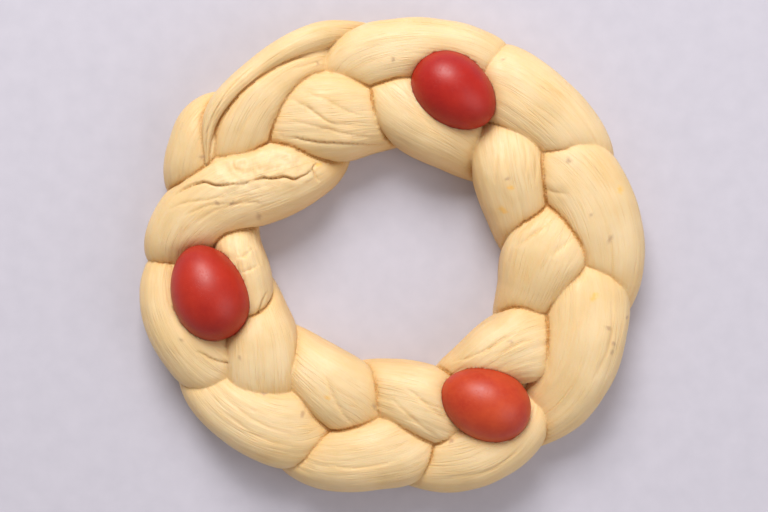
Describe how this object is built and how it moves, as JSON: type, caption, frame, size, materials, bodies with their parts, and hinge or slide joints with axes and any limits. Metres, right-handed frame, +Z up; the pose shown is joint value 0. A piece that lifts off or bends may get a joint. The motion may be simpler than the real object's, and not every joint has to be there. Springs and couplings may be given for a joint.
{
  "type": "braided loaf",
  "caption": "Ring-shaped Easter bread plaited from ropes of risen dough, with red-dyed eggs nested in the plait, lying flat before baking.",
  "frame": {"origin": "on the surface the loaf lies on, under the centre of its bounding box, inside the ring's hole", "axes": "+Z up out of the loaf's top; +X across the ring's longest width, away from the side where the ring is joined; +Y towards the egg that lies half way between the join and +X"},
  "size_m": [0.2862, 0.2686, 0.0552],
  "materials": {
    "dough": "satin",
    "egg_deep_red": "satin",
    "egg_red": "satin",
    "egg_orange_red": "satin"
  },
  "bodies": {
    "root": {"dough_ring": "dough", "egg_1": "egg_deep_red", "egg_2": "egg_red", "egg_3": "egg_orange_red"}
  },
  "joints": []
}
